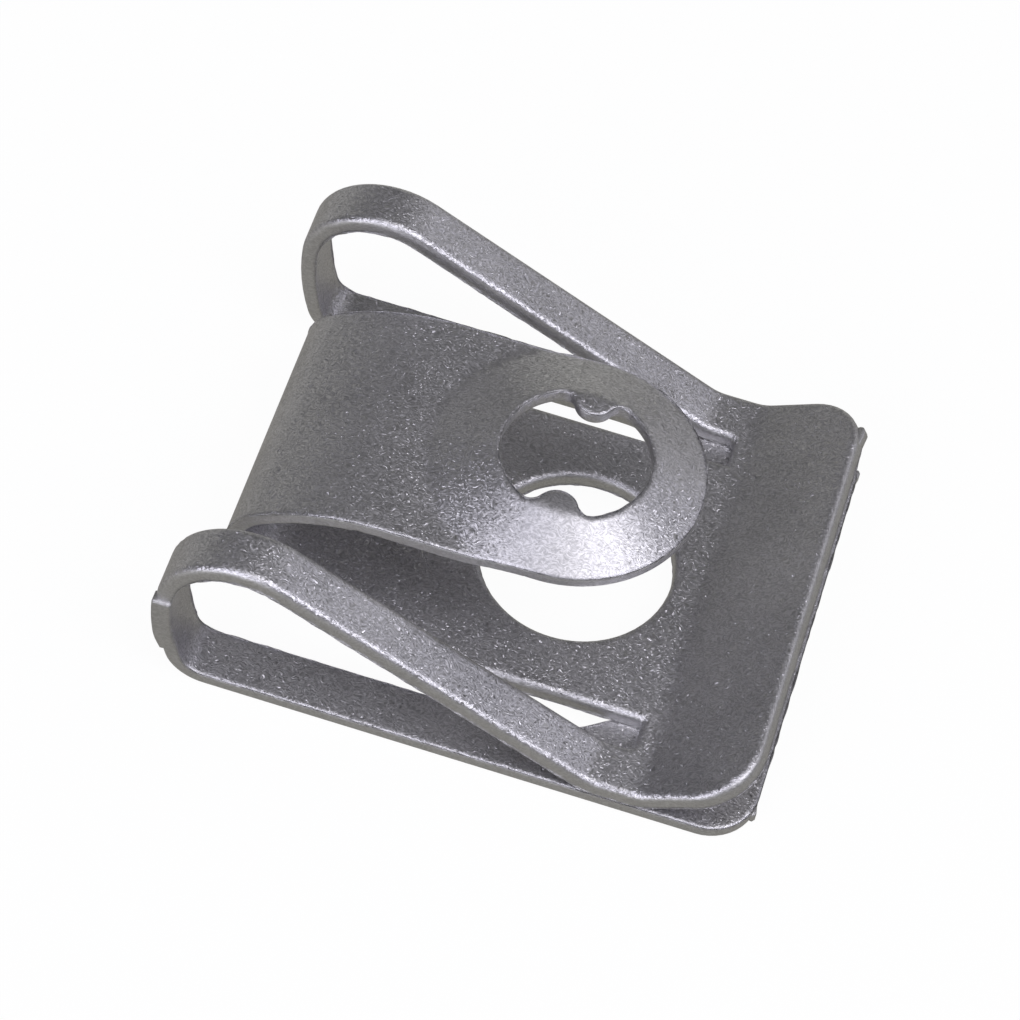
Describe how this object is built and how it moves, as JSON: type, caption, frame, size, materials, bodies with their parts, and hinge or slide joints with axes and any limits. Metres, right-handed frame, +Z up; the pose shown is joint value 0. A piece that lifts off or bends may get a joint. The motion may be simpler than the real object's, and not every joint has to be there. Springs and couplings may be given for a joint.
{
  "type": "u clip speed nut",
  "caption": "Folded spring-steel clip nut: a sprung leaf grips a panel edge and a coned tongue with thread teeth takes a tapping screw.",
  "frame": {"origin": "centre of the screw passage, at the middle of the middle plate's thickness", "axes": "+Z up, from the bottom leaf towards the thread cone; +X from the folded end towards the open mouth; Y across the width"},
  "size_m": [0.0194, 0.016, 0.0068],
  "materials": {
    "coated_spring_steel": "satin zinc-flake coating, grey"
  },
  "bodies": {
    "root": {"spring_clip": "coated_spring_steel"}
  },
  "joints": []
}
